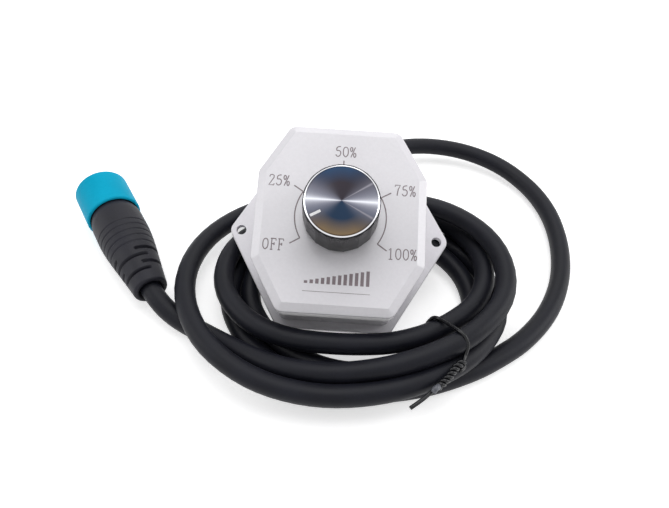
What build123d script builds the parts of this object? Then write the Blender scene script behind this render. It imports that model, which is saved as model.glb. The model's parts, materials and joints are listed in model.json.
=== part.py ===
from build123d import *
import os
from math import atan, cos, degrees, pi, radians, sin, sqrt, tan

# Rotary dimmer for a grow light: a hexagonal box with a knob, leaning on its own coiled cable,
# and a waterproof connector with a turning coupling nut on the cable's end.
# Millimetres and degrees. +X is right, +Y is away from the viewer, +Z is up.
# The origin is on the floor, under the middle of the box's bounding box.

# Stance of the box
lean = 29.0               # angle between the back plate and the floor

# Base and cover
cover_across = 68.0       # cover, top edge to bottom edge
cover_width = 60.0        # cover, over the flats that cut off the left and right points
box_height = 26.5         # underside of the base to the front face
cover_height = 8.0        # height of the cover's side
cover_plate = 2.4         # thickness of the cover's front plate
cover_skirt = 2.0         # thickness of the cover's side wall
cover_overhang = 0.6      # the cover stands out past the base wall
corner_radius = 3.5       # upright corners of the cover
edge_inset = 3.0          # sloped edge of the front face, measured on the face
edge_drop = 1.7           # sloped edge of the front face, measured down the side
edge_soften = 0.7         # rounding of the sloped edge's lower line
flange_margin = 2.5       # flange past the cover's top and bottom edges
flange_thickness = 3.0
flange_soften = 0.6
base_wall = 2.2
lip_thickness = 0.65      # lip of the base that enters the cover
lip_height = 2.6          # above the base wall
lip_gap = 0.15
seal_thickness = 0.6      # rubber seal between base and cover
seal_inset = 0.3          # seal edge behind the base wall
ear_pitch = 75.0          # between the two mounting holes
ear_hole = 3.8

# Screws that hold the cover, put in from the back
screw_diameter = 2.6
screw_reach = 4.6         # thread inside the cover's boss
screw_head = 5.0
screw_head_height = 1.7
screw_sink = 2.0          # depth of the counterbore in the back plate
post_diameter = 6.4
post_inset = 3.0          # post axis from the inner face of the base wall
boss_diameter = 5.6
head_gap = 0.2
thread_gap = 0.03

# Potentiometer under the cover's front plate
bushing_diameter = 7.0
bushing_length = 5.0      # above the pot's front plate
bushing_gap = 0.2
pot_diameter = 16.5
pot_plate = 0.8
wafer_thickness = 1.6
rotor_diameter = 12.5
rotor_height = 2.2
wiper_thickness = 0.25
can_wall = 0.35
can_depth = 8.3           # pot depth behind the cover's front plate
shaft_diameter = 6.0
shaft_length = 15.0       # above the pot's front plate
shaft_flat = 4.5          # shaft across its flat
running_gap = 0.03
lug_pitch = 5.0
lug_width = 1.6
lug_thickness = 0.4
lug_length = 4.0
tongue_length = 3.2       # wafer past the can, where the lugs stand
nut_across = 10.0
nut_height = 2.0
washer_diameter = 11.5
washer_thickness = 0.5
locating_tab = 1.2        # square pin that stops the pot from turning

# Knob
knob_gap = 1.5            # cover face to the knob
knob_height = 15.5
knob_diameter = 25.8      # fluted skirt at its foot
knob_top_diameter = 25.4  # fluted skirt under the cap
cap_diameter = 25.0
cap_thickness = 1.4
cap_bevel = 1.1           # polished edge of the cap, measured on its face
cap_bevel_drop = 0.5
flute_count = 16
flute_radius = 7.0
flute_depth = 0.45
knob_wall = 1.8
knob_roof = 2.2
hub_diameter = 11.0
nut_pocket_diameter = 14.0
nut_pocket_depth = 3.0
rib_thickness = 1.2
rib_count = 6
insert_diameter = 8.0
insert_length = 10.0
insert_gap = 0.04
pointer_inner = 7.6
pointer_outer = 11.3
pointer_width = 0.9
pointer_depth = 0.4
off_angle = 210.0         # pointer at OFF, seen from the front, from +X towards the top edge

# Cable and the sleeve where it leaves the back plate
cord_diameter = 7.6
sleeve_offset = 24.5      # sleeve axis above the middle of the back plate
sleeve_hole = 11.0
sleeve_flange = 14.0
sleeve_flange_thickness = 1.4
sleeve_inner_flange = 12.5
sleeve_length = 8.0       # below the back plate
sleeve_tip_diameter = 9.4
sleeve_groove = 0.5
sleeve_groove_width = 0.8
sleeve_groove_count = 3
inner_jacket = 8.0        # cable jacket inside the box
core_diameter = 1.6       # insulated cores
core_spread = 2.3

# Connector on the cable's end, measured from its tail along its axis
tail_place = (-68.3, -19.8)     # middle of the tail in plan
plug_heading = 123.9            # compass of the axis in plan, from +X towards +Y
tail_diameter = 12.8
tail_round = 0.9
tail_mouth = 9.4
tail_mouth_depth = 3.0
body_diameter = 20.2
body_stations = [(11.1, 15.7), (18.0, 17.8), (23.8, 19.3)]   # distance and diameter of the taper
body_full_from = 30.6
body_full_to = 37.3
nut_at = 42.3
shoulder_diameter = 18.4
shoulder_length = 3.4
neck_diameter = 15.6
neck_length = 3.9
nose_diameter = 17.6
nose_length = 4.3
nut_diameter = 21.4
nut_length = 17.8
nut_round = 0.9
nut_web = 3.2             # ring of the nut that turns on the neck
nut_gap = 0.3
ring_count = 5
ring_pitch = 2.92
ring_first_at = 21.1      # first fine ring from the tail
ring_depth = 0.35
ring_width = 0.7
slot_places = [7.9, 10.9, 14.2, 17.3]
slot_width = 1.2
slot_depth = 1.5
slot_web = 5.5            # solid bridge between the two slots of a ring
carrier_diameter = 12.6
carrier_length = 11.0
carrier_socket = 6.0
carrier_wall = 1.2
carrier_recess = 5.0
pin_diameter = 1.6
pin_length = 7.5
pin_circle = 6.2
pin_count = 3
seal_section = 1.5

# Coil: the tied turns as one ring, and the tie round them
coil_middle = (4.25, -7.5)
coil_half = (65.2, 56.5)
coil_hole_middle = (7.3, -12.0)
coil_hole_half = (36.9, 23.2)
coil_turned = 5.0         # both ellipses are turned to the left
coil_front_height = 16.6
coil_right_height = 23.4
coil_right_x = 9.0        # the turns are stacked higher to the right of this line
coil_right_y = (-25.0, 22.0)
coil_rear_y = 25.0        # behind this line only the lowest turn remains
coil_rear_height = 8.2
coil_edge = 3.4
box_gap = 0.3             # turns to the box's edges
tie_diameter = 1.7
tie_inner = (32.5, -28.3)
tie_outer = (47.0, -41.0)
tie_corner = 3.5
tie_tail = [(44, -39, 17.6), (43.5, -44.5, 18.2), (41.4, -49.8, 18.3), (38, -54.6, 17.4), (34, -59, 15),
            (29.6, -61.8, 13.6), (25.8, -64, 12.3)]
tie_tail_diameter = 2.6

# Values worked out from the sizes above
apothem = cover_across / 2
flange_apothem = apothem + flange_margin
ear_x = ear_pitch / 2
ear_radius = (flange_apothem * 2 / sqrt(3) - ear_x) * sin(radians(60))
seam = box_height - cover_height
wall_top = seam - seal_thickness
plate_under = box_height - cover_plate
post_apothem = apothem - cover_overhang - base_wall - post_inset
pot_bottom = plate_under - can_depth
wafer_top = plate_under - pot_plate
can_diameter = pot_diameter + 2 * (can_wall + 0.05)
rotor_top = wafer_top - wafer_thickness - wiper_thickness - 0.05
knob_bottom = box_height + knob_gap
knob_top = knob_bottom + knob_height
cap_seat = knob_top - cap_thickness
lean_cos, lean_sin = cos(radians(lean)), sin(radians(lean))
soften_back = edge_soften * tan(atan(edge_inset / edge_drop) / 2)
front_y = ((flange_margin + edge_soften) * lean_cos - (box_height - edge_drop - soften_back) * lean_sin
           - edge_soften)
back_y = 2 * flange_apothem * lean_cos
front_edge_y = -(front_y + back_y) / 2

standing = (Align.CENTER, Align.CENTER, Align.MIN)
lying = (Align.CENTER, Align.MIN, Align.MIN)

# Box frame: its own Z stands on the face, its origin is the middle of the base's underside
box_frame = (
    Pos(0, front_edge_y, 0) * Rot(lean, 0, 0) * Pos(0, flange_apothem, 0)
)

# The plug lies on its widest part and on the rear edge of its nut
plug_tilt = atan((nut_diameter - body_diameter) / 2 / (nut_at + nut_round - body_full_from))
tail_height = body_diameter / 2 * cos(plug_tilt) - body_full_from * sin(plug_tilt) + 0.05
plug_frame = (
    Pos(tail_place[0], tail_place[1], tail_height) * Rot(0, 0, plug_heading)
    * Rot(0, 90 - degrees(plug_tilt), 0)
)
nose_at = nut_at + shoulder_length + neck_length
nose_end = nose_at + nose_length

# The free cable, chosen by hand after the photograph
sleeve_end = (box_frame * Pos(0, sleeve_offset, -sleeve_length)).position
sleeve_aim = (box_frame * Pos(0, sleeve_offset, -sleeve_length - 7)).position
exit_route = [
    (sleeve_end.X, sleeve_end.Y, sleeve_end.Z),
    (sleeve_aim.X, sleeve_aim.Y, sleeve_aim.Z),
    (0.6, 40.5, 12.7),
    (4, 49.5, 12.3),
    (12, 59, 11.3),
    (23.5, 67, 9.8),
    (38.5, 72, 8.4),
    (56, 73, 7),
    (72, 69.5, 5.4),
    (85, 60, 4.2),
    (92.5, 46, 3.9),
    (94.5, 30, 3.82),
    (92.5, 13, 3.82),
    (87.5, -2, 3.82),
    (80, -15.5, 3.82),
    (70, -27.5, 3.82),
    (61, -35.5, 3.82),
    (53, -41.5, 3.82),
]
lead_start = (plug_frame * Pos(0, 0, tail_mouth_depth)).position
lead_next = (plug_frame * Pos(0, 0, -5.5)).position
lead_route = [
    (lead_start.X, lead_start.Y, lead_start.Z),
    (lead_next.X, lead_next.Y, lead_next.Z),
    (-58, -27.8, 5.2),
    (-49, -30.9, 3.9),
]


def hexagon(size):
    return RegularPolygon(size, 6, major_radius=False)


def disc(diameter, low, high):
    return Pos(0, 0, low) * Cylinder(diameter / 2, high - low, align=standing)


def block(x, y, z):
    return Box(x, y, z, align=standing)


def cover_outline(inset):
    # Hexagon with its left and right points cut off by upright flats, corners rounded
    outline = hexagon(apothem - inset) & Rectangle(cover_width - 2 * inset, 2 * cover_across)
    return fillet(outline.vertices(), max(corner_radius - inset, 0.6))


def post_places():
    # The four corners of the hexagon at the top and bottom edges
    x = post_apothem / sqrt(3)
    return [Pos(sx * x, sy * post_apothem, 0) for sx in (-1, 1) for sy in (-1, 1)]


def round_bar(route, diameter):
    # Straight runs joined by tangent arcs, each arc 0.45 of the shorter run over the tangent of half the turn
    points = [Vector(*p) for p in route]
    radii = []
    for a, b, c in zip(points, points[1:], points[2:]):
        turn = (b - a).get_angle(c - b)
        shorter = min((b - a).length, (c - b).length)
        radii.append(0.45 * shorter / tan(radians(turn / 2)))
    path = FilletPolyline(*points, radius=radii)
    section = Plane(origin=points[0], z_dir=points[1] - points[0]) * Circle(diameter / 2)
    bar = sweep(section, path=path)
    return bar, path, radii


def build_base():
    outline = hexagon(flange_apothem)
    ears = outline.vertices().filter_by(lambda v: abs(v.Y) < 1)
    outline = fillet(ears, ear_radius)
    corners = outline.vertices().filter_by(lambda v: abs(v.Y) > flange_apothem - 1)
    outline = fillet(corners, corner_radius)
    flange = extrude(outline, flange_thickness)
    flange = fillet(flange.faces().sort_by(Axis.Z)[-1].edges(), flange_soften)
    shell = flange + extrude(cover_outline(cover_overhang), wall_top)
    shell -= Pos(0, 0, flange_thickness) * extrude(cover_outline(cover_overhang + base_wall), seam)
    lip_inset = cover_overhang + base_wall - lip_thickness
    lip = extrude(cover_outline(lip_inset) - cover_outline(cover_overhang + base_wall), lip_height)
    shell += Pos(0, 0, wall_top) * lip
    for place in post_places():
        shell += place * Cylinder(post_diameter / 2, seam, align=standing)
    for place in post_places():
        shell -= place * Cylinder(screw_diameter / 2 + head_gap, seam, align=standing)
        shell -= place * Cylinder(screw_head / 2 + head_gap, screw_sink, align=standing)
    for side in (-1, 1):
        shell -= Pos(side * ear_x, 0, 0) * Cylinder(ear_hole / 2, 3 * flange_thickness)
    shell -= Pos(0, sleeve_offset, 0) * Cylinder(sleeve_hole / 2, 3 * flange_thickness)
    return shell


def build_cover():
    cover = extrude(cover_outline(0), cover_height)
    top = cover.faces().sort_by(Axis.Z)[-1]
    cover = chamfer(top.edges(), length=edge_inset, length2=edge_drop, reference=top)
    line = cover_height - edge_drop
    cover = fillet(cover.edges().filter_by_position(Axis.Z, line - 0.01, line + 0.01), edge_soften)
    cavity_inset = cover_overhang + base_wall - lip_thickness - lip_gap
    cover -= extrude(cover_outline(cavity_inset), cover_height - cover_plate)
    cover = Pos(0, 0, seam) * cover
    for place in post_places():
        cover += place * disc(boss_diameter, seam, plate_under)
    for place in post_places():
        cover -= place * disc(screw_diameter + 2 * thread_gap, seam, seam + screw_reach + 0.4)
    cover -= Pos(0, 0, box_height) * Cylinder(bushing_diameter / 2 + bushing_gap, 3 * cover_plate)
    tab = Box(locating_tab + 0.3, locating_tab + 0.3, locating_tab + 0.2, align=standing)
    cover -= Pos(-pot_diameter / 2 + locating_tab, 0, plate_under) * tab
    return cover


def build_cover_seal():
    ring = cover_outline(cover_overhang + seal_inset) - cover_outline(
        cover_overhang + base_wall - lip_thickness)
    return Pos(0, 0, wall_top) * extrude(ring, seal_thickness)


def build_screws():
    reach = seam - screw_sink + screw_reach
    shank = Pos(0, 0, screw_sink) * Cylinder(screw_diameter / 2, reach, align=standing)
    head = Pos(0, 0, screw_sink - screw_head_height) * Cylinder(
        screw_head / 2, screw_head_height, align=standing)
    head = fillet(head.faces().sort_by(Axis.Z)[0].edges(), 0.5)
    cross = Box(2.6, 0.6, 1.0, align=standing)
    cross += Box(0.6, 2.6, 1.0, align=standing)
    screw = head + shank - Pos(0, 0, screw_sink - screw_head_height) * cross
    return [place * screw for place in post_places()]


def build_pot_bushing():
    body = disc(can_diameter, wafer_top, plate_under) + disc(bushing_diameter, wafer_top,
                                                            plate_under + bushing_length)
    body += Pos(-pot_diameter / 2 + locating_tab, 0, plate_under) * Box(
        locating_tab, locating_tab, locating_tab, align=standing)
    return body - disc(shaft_diameter + 2 * running_gap, wafer_top - 1, plate_under + bushing_length + 1)


def build_wafer():
    low = wafer_top - wafer_thickness
    wafer = disc(pot_diameter, low, wafer_top)
    tongue = Box(2 * lug_pitch + 3, pot_diameter / 2 + tongue_length, wafer_thickness, align=lying)
    wafer += Pos(0, 0, low) * tongue
    return wafer - disc(shaft_diameter + 1.4, low - 1, wafer_top + 1)


def build_lugs():
    low = wafer_top - wafer_thickness - lug_thickness
    lug = Box(lug_width, lug_length + 2.2, lug_thickness, align=lying)
    lug -= Pos(0, lug_length + 1.2, 0) * Cylinder(0.45, 2)
    start = pot_diameter / 2 + can_wall + 0.4
    return [Pos(n * lug_pitch, start, low) * lug for n in (-1, 0, 1)]


def build_can():
    can = disc(can_diameter, pot_bottom, wafer_top)
    can -= disc(can_diameter - 2 * can_wall, pot_bottom + can_wall, wafer_top + 1)
    can = fillet(can.faces().sort_by(Axis.Z)[0].edges(), can_wall)
    notch_low = wafer_top - wafer_thickness - lug_thickness - 0.3
    notch = Box(2 * lug_pitch + 3.2, pot_diameter, wafer_thickness + 2, align=lying)
    return can - Pos(0, pot_diameter / 4, notch_low) * notch


def build_rotor():
    rotor = disc(rotor_diameter, rotor_top - rotor_height, rotor_top)
    return rotor - disc(shaft_diameter, rotor_top - rotor_height - 1, rotor_top + 1)


def build_wiper():
    ring = disc(rotor_diameter - 1, rotor_top, rotor_top + wiper_thickness)
    ring -= disc(rotor_diameter - 4, rotor_top - 1, rotor_top + 1)
    arm = Pos(0, 0, rotor_top) * Box(rotor_diameter, rotor_diameter / 3, 4 * wiper_thickness, align=standing)
    return ring & arm


def d_bar(diameter, across, low, high):
    bar = disc(diameter, low, high)
    cut = Box(diameter + 2, diameter, high - low + 2, align=lying)
    return bar - Pos(0, across - diameter / 2, low - 1) * cut


def build_shaft():
    top = plate_under + shaft_length
    flat_from = plate_under + bushing_length + 0.6
    shaft = disc(shaft_diameter, rotor_top - rotor_height, flat_from)
    shaft += d_bar(shaft_diameter, shaft_flat, flat_from, top)
    return shaft


def build_washer():
    return disc(washer_diameter, box_height, box_height + washer_thickness) - disc(
        bushing_diameter + 0.2, box_height - 1, box_height + 2)


def build_pot_nut():
    low = box_height + washer_thickness
    nut = Pos(0, 0, low) * extrude(hexagon(nut_across / 2), nut_height)
    return nut - disc(bushing_diameter + 2 * thread_gap, low - 1, low + nut_height + 1)


def build_knob():
    skirt = Plane.XZ * Polygon(
        (0, knob_bottom), (knob_diameter / 2, knob_bottom), (knob_top_diameter / 2, cap_seat), (0, cap_seat),
        align=None)
    knob = revolve(skirt, Axis.Z)
    knob = fillet(knob.edges().group_by(Axis.Z)[0], 0.5)
    centre = knob_diameter / 2 - flute_depth + flute_radius
    flute = Cylinder(flute_radius, knob_height, align=standing)
    for n in range(flute_count):
        knob -= Rot(0, 0, off_angle + (n + 0.5) * 360 / flute_count) * Pos(centre, 0, knob_bottom - 1) * flute
    cavity = disc(knob_diameter - 2 * knob_wall, knob_bottom - 1, cap_seat - knob_roof)
    hub = disc(hub_diameter, knob_bottom - 1, cap_seat)
    rib = Box(knob_diameter - knob_wall, rib_thickness, knob_height, align=standing)
    for n in range(rib_count // 2):
        hub += Rot(0, 0, n * 360 / rib_count) * Pos(0, 0, knob_bottom - 1) * rib
    knob -= cavity - hub
    knob -= disc(nut_pocket_diameter, knob_bottom - 1, knob_bottom + nut_pocket_depth)
    knob -= disc(insert_diameter, knob_bottom, knob_bottom + nut_pocket_depth + insert_length)
    return knob


def build_knob_insert():
    low = knob_bottom + nut_pocket_depth
    insert = disc(insert_diameter, low, low + insert_length)
    return insert - d_bar(shaft_diameter + 2 * insert_gap, shaft_flat + 2 * insert_gap, low - 1,
                          low + insert_length + 1)


def pointer_place():
    return Rot(0, 0, off_angle) * Pos((pointer_inner + pointer_outer) / 2, 0, knob_top - pointer_depth)


def pointer_bar():
    return Box(pointer_outer - pointer_inner, pointer_width, pointer_depth, align=standing)


def build_cap():
    cap = disc(cap_diameter, cap_seat, knob_top)
    face = cap.faces().sort_by(Axis.Z)[-1]
    cap = chamfer(face.edges(), length=cap_bevel, length2=cap_bevel_drop, reference=face)
    return cap - pointer_place() * pointer_bar()


def build_pointer():
    return pointer_place() * pointer_bar()


def build_sleeve():
    # Rubber sleeve through the back plate: a flange on each side, then a grooved taper
    bore, hole, tip = cord_diameter / 2, sleeve_hole / 2, sleeve_tip_diameter / 2
    under, over = -sleeve_flange_thickness, flange_thickness + sleeve_flange_thickness
    profile = Plane.XZ * Polygon(
        (bore, -sleeve_length), (tip, -sleeve_length), (hole, under), (sleeve_flange / 2, under),
        (sleeve_flange / 2, 0), (hole, 0), (hole, flange_thickness),
        (sleeve_inner_flange / 2, flange_thickness), (sleeve_inner_flange / 2, over), (bore, over),
        align=None)
    sleeve = revolve(profile, Axis.Z)
    step = (sleeve_length - sleeve_flange_thickness) / (sleeve_groove_count + 0.6)
    for n in range(sleeve_groove_count):
        at = -sleeve_length + (n + 0.8) * step
        edge = tip + (at + sleeve_length) / sleeve_length * (hole - tip)
        half = sleeve_groove_width / 2
        sleeve -= disc(sleeve_flange, at - half, at + half) - disc(2 * (edge - sleeve_groove), at - 1, at + 1)
    return Pos(0, sleeve_offset, 0) * sleeve


def build_inner_jacket():
    top = flange_thickness + inner_jacket
    return Pos(0, sleeve_offset, 0) * disc(cord_diameter, -sleeve_length, top)


def build_cores():
    # Three insulated cores from the jacket's end to the lugs
    low = flange_thickness + inner_jacket
    lug_y = pot_diameter / 2 + can_wall + 0.4 + lug_length + 1.2
    lug_z = wafer_top - wafer_thickness - lug_thickness - core_diameter / 2
    cores = []
    for n in (-1, 0, 1):
        x, spread = n * lug_pitch, n * core_spread
        middle = (x + spread) / 2
        route = [(spread, sleeve_offset, low), (spread, sleeve_offset, low + 4),
                 (middle, sleeve_offset - 3.2, lug_z - 2), (x, lug_y + 3.4, lug_z - 0.1), (x, lug_y, lug_z)]
        cores.append(round_bar(route, core_diameter)[0])
    return cores


def build_plug_body():
    tail, full, mouth = tail_diameter / 2, body_diameter / 2, tail_mouth / 2
    shoulder, neck, nose = shoulder_diameter / 2, neck_diameter / 2, nose_diameter / 2
    taper = [(d / 2, s) for s, d in body_stations]
    with BuildPart() as plug:
        with BuildSketch(Plane.XZ):
            with BuildLine():
                Polyline((0, tail_mouth_depth), (mouth, tail_mouth_depth), (mouth, 0), (tail - tail_round, 0),
                         (tail, tail_round))
                Spline((tail, tail_round), *taper, (full, body_full_from))
                Polyline((full, body_full_from), (full, body_full_to))
                Spline((full, body_full_to), (shoulder, nut_at), tangents=((0, 1), (-0.12, 0.5)))
                Polyline((shoulder, nut_at), (shoulder, nut_at + shoulder_length),
                         (neck, nut_at + shoulder_length), (neck, nose_at), (nose, nose_at),
                         (nose, nose_end), (0, nose_end), (0, tail_mouth_depth))
            make_face()
        revolve(axis=Axis.Z)
    body = plug.part
    for n in range(ring_count):
        body -= skin_cut(body, ring_first_at + n * ring_pitch, ring_width, ring_depth)
    for n, at in enumerate(slot_places):
        web = Rot(0, 0, 90 * (n % 2)) * Pos(0, 0, at) * Box(slot_web, 2 * body_diameter, 2 * slot_width)
        body -= skin_cut(body, at, slot_width, slot_depth) - web
    return body - disc(carrier_diameter, nose_end - carrier_socket, nose_end + 1)


def skin_cut(body, at, width, depth):
    # The outermost layer of the body between two planes across its axis
    slab = body & disc(2 * body_diameter, at - width / 2, at + width / 2)
    edge = slab.bounding_box().max.X
    return slab - disc(2 * (edge - depth), at - width, at + width)


def build_nut():
    # Coupling nut: a skirt over the shoulder, a web in the neck and an open front
    end = nut_at + nut_length
    web_from = nut_at + shoulder_length + nut_gap
    nut = fillet(disc(nut_diameter, nut_at, end).edges(), nut_round)
    nut -= disc(shoulder_diameter + 1.1, nut_at - 1, web_from)
    nut -= disc(neck_diameter + 2 * nut_gap, nut_at, end)
    return nut - disc(nose_diameter + 1.0, web_from + nut_web, end + 1)


def build_carrier():
    low = nose_end - carrier_socket
    top = low + carrier_length
    carrier = disc(carrier_diameter, low, top)
    carrier = fillet(carrier.faces().sort_by(Axis.Z)[-1].edges(), 0.5)
    carrier -= disc(carrier_diameter - 2 * carrier_wall, top - carrier_recess, top + 1)
    key = Box(2.0, 1.4, carrier_recess - 0.5, align=(Align.CENTER, Align.MAX, Align.MIN))
    carrier += Pos(0, carrier_diameter / 2 - 0.6, top - carrier_recess) * key
    for place in pin_places():
        carrier -= place * disc(pin_diameter, low, top)
    return carrier


def pin_places():
    return [Rot(0, 0, 270 + n * 360 / pin_count) * Pos(pin_circle / 2, 0, 0) for n in range(pin_count)]


def build_pins():
    top = nose_end - carrier_socket + carrier_length - 1.2
    pin = disc(pin_diameter, top - pin_length, top)
    pin = fillet(pin.faces().sort_by(Axis.Z)[-1].edges(), 0.5)
    return [place * pin for place in pin_places()]


def build_seal():
    # Round ring on the carrier, against the end of the nose
    return Pos(0, 0, nose_end + seal_section / 2) * Torus((carrier_diameter + seal_section) / 2,
                                                          seal_section / 2)


def box_envelope():
    # Room for the base: the turns under it end at its underside
    return box_frame * extrude(hexagon(flange_apothem + box_gap), 3 * box_height)


def ellipse_prism(middle, half, height):
    return Pos(middle[0], middle[1], 0) * Rot(0, 0, coil_turned) * extrude(Ellipse(half[0], half[1]), height)


def build_coil():
    # Ring of three heights, open in the middle for the box
    tall = coil_right_height
    ring = ellipse_prism(coil_middle, coil_half, tall)
    ring = fillet(ring.edges(), coil_edge)
    ring -= ellipse_prism(coil_hole_middle, coil_hole_half, 3 * tall)
    wide = 4 * coil_half[0]
    above = Pos(0, coil_rear_y, coil_rear_height) * Box(wide, wide, tall, align=lying)
    front = Pos(0, coil_right_y[0], coil_front_height) * Rot(0, 0, 180) * Box(wide, wide, tall, align=lying)
    left = Pos(coil_right_x, 0, coil_front_height) * Box(wide, wide, tall,
                                                         align=(Align.MAX, Align.CENTER, Align.MIN))
    rear = Pos(0, coil_right_y[1], coil_front_height) * Box(wide, wide, tall, align=lying)
    return ring - above - front - left - rear - box_envelope() - build_tie()


def build_tie_loop():
    (ix, iy), (ox, oy) = tie_inner, tie_outer
    low, high = tie_diameter / 2, coil_front_height + tie_diameter / 2
    across = sqrt((ox - ix) ** 2 + (oy - iy) ** 2)
    middle = Plane(origin=((ix + ox) / 2, (iy + oy) / 2, (low + high) / 2),
                   x_dir=(ox - ix, oy - iy, 0), z_dir=(oy - iy, ix - ox, 0))
    wire = (middle * RectangleRounded(across, high - low, tie_corner)).wire()
    section = Plane(origin=wire.position_at(0), z_dir=wire.tangent_at(0)) * Circle(tie_diameter / 2)
    return sweep(section, path=wire)


def build_tie():
    # Closed loop round the turns and its twisted ends, hanging over the outer turn
    return build_tie_loop() + round_bar(tie_tail, tie_tail_diameter)[0]


def write_parts():
    os.makedirs("parts", exist_ok=True)
    in_box = {
        "base_shell": build_base(),
        "front_cover": build_cover(),
        "cover_seal": build_cover_seal(),
        "cover_screws": build_screws(),
        "pot_bushing": build_pot_bushing(),
        "pot_wafer": build_wafer(),
        "pot_lugs": build_lugs(),
        "pot_can": build_can(),
        "pot_rotor": build_rotor(),
        "pot_wiper": build_wiper(),
        "pot_shaft": build_shaft(),
        "pot_washer": build_washer(),
        "pot_nut": build_pot_nut(),
        "knob_body": build_knob(),
        "knob_insert": build_knob_insert(),
        "knob_cap": build_cap(),
        "pointer_line": build_pointer(),
        "cable_sleeve": build_sleeve(),
        "inner_jacket": build_inner_jacket(),
        "inner_cores": build_cores(),
    }
    on_plug = {
        "plug_body": build_plug_body(),
        "coupling_nut": build_nut(),
        "contact_carrier": build_carrier(),
        "contact_pins": build_pins(),
        "plug_seal": build_seal(),
    }
    exit_loop, exit_path, exit_radii = round_bar(exit_route, cord_diameter)
    lead, lead_path, lead_radii = round_bar(lead_route, cord_diameter)
    free = {
        "cord_exit_loop": exit_loop,
        "cord_plug_lead": lead,
        "cord_coil": build_coil(),
        "twist_tie": build_tie(),
    }
    for name, shape in in_box.items():
        write_node(name, shape, box_frame)
    for name, shape in on_plug.items():
        write_node(name, shape, plug_frame)
    for name, shape in free.items():
        write_node(name, shape, Location())
    area = pi * (cord_diameter / 2) ** 2
    for name, bar, path, radii in (("exit loop", exit_loop, exit_path, exit_radii),
                                   ("plug lead", lead, lead_path, lead_radii)):
        print(name, "length %.1f" % path.length, "volume ratio %.4f" % (bar.volume / (area * path.length)),
              "radii", [round(r, 1) for r in radii])


def write_node(name, shape, frame):
    pieces = shape if isinstance(shape, list) else [shape]
    solids = [frame * s for piece in pieces for s in piece.solids()]
    export_step(Compound(children=solids) if len(solids) > 1 else solids[0], "parts/" + name + ".step")


write_parts()
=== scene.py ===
import json
from math import cos, pi, radians, sin

import bpy
import numpy as np
from mathutils import Matrix, Vector


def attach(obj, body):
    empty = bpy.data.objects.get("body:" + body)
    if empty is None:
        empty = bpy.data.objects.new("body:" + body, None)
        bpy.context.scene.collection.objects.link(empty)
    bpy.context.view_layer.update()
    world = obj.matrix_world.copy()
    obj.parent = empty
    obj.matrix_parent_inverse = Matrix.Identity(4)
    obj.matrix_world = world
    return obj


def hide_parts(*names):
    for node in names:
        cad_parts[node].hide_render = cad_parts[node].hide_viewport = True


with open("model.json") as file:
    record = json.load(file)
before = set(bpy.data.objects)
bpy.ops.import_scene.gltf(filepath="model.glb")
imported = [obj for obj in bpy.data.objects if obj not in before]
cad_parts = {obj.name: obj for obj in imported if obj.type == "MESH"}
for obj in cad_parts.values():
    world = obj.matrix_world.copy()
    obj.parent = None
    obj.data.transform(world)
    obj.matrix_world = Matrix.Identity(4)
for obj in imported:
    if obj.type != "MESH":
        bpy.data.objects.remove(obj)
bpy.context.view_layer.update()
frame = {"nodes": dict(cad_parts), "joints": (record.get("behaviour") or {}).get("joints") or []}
cadNodes = frame["nodes"]
mm = 0.001
print("frame loaded:", len(cadNodes), "CAD pieces")


# places worked out from the frame

def jointNamed(name):
    return next(j for j in frame["joints"] if j["name"] == name)


def reachAlong(node, origin, axis):
    # lowest and highest distance of the node's points along a line
    mesh = cadNodes[node].data
    points = np.empty(len(mesh.vertices) * 3, np.float32)
    mesh.vertices.foreach_get("co", points)
    along = (points.reshape(-1, 3) - np.array(origin)) @ np.array(axis)
    return float(along.min()), float(along.max())


def placeOn(origin, axis, side):
    # frame with Z along the axis and X as near to side as it can be
    z = Vector(axis).normalized()
    x = (Vector(side) - z * Vector(side).dot(z)).normalized()
    place = Matrix((x, z.cross(x), z)).transposed().to_4x4()
    place.translation = Vector(origin)
    return place


knobJoint = jointNamed("knob_turn")
nutJoint = jointNamed("nut_turn")
knobAxis = Vector(knobJoint["axis"])
faceHeight = reachAlong("front_cover", knobJoint["pos_m"], knobAxis)[1]
capHeight = reachAlong("knob_cap", knobJoint["pos_m"], knobAxis)[1]
# middles of the cover's face, of the cap's top and of the plug's tail
dialPlace = placeOn(Vector(knobJoint["pos_m"]) + knobAxis * faceHeight, knobAxis, (1, 0, 0))
capPlace = placeOn(Vector(knobJoint["pos_m"]) + knobAxis * capHeight, knobAxis, (1, 0, 0))
plugAxis = Vector(nutJoint["axis"])
tailHeight = reachAlong("plug_body", nutJoint["pos_m"], plugAxis)[0]
plugPlace = placeOn(Vector(nutJoint["pos_m"]) + plugAxis * tailHeight, plugAxis, (0, 0, 1))


# camera

cameraView = dict(lens=32.29, sensor=36, near=0.005, far=20, elevation=46.5, roll=3.71, distance=0.2518,
                  aim=(-0.00123, 0.01299, 0.0))


def addCamera(view):
    lift = radians(view["elevation"])
    turn = radians(view["roll"])
    right = Vector((1, 0, 0))
    up = Vector((0, sin(lift), cos(lift)))
    back = Vector((0, -cos(lift), sin(lift)))
    across = cos(turn) * right + sin(turn) * up
    place = Matrix((across, cos(turn) * up - sin(turn) * right, back)).transposed().to_4x4()
    place.translation = Vector(view["aim"]) + back * view["distance"]
    data = bpy.data.cameras.new("photoCamera")
    data.lens = view["lens"]
    data.sensor_width = view["sensor"]
    data.clip_start = view["near"]
    data.clip_end = view["far"]
    camera = bpy.data.objects.new("photoCamera", data)
    bpy.context.scene.collection.objects.link(camera)
    camera.matrix_world = place
    bpy.context.scene.camera = camera


addCamera(cameraView)
print("camera set")


# material helpers

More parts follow.
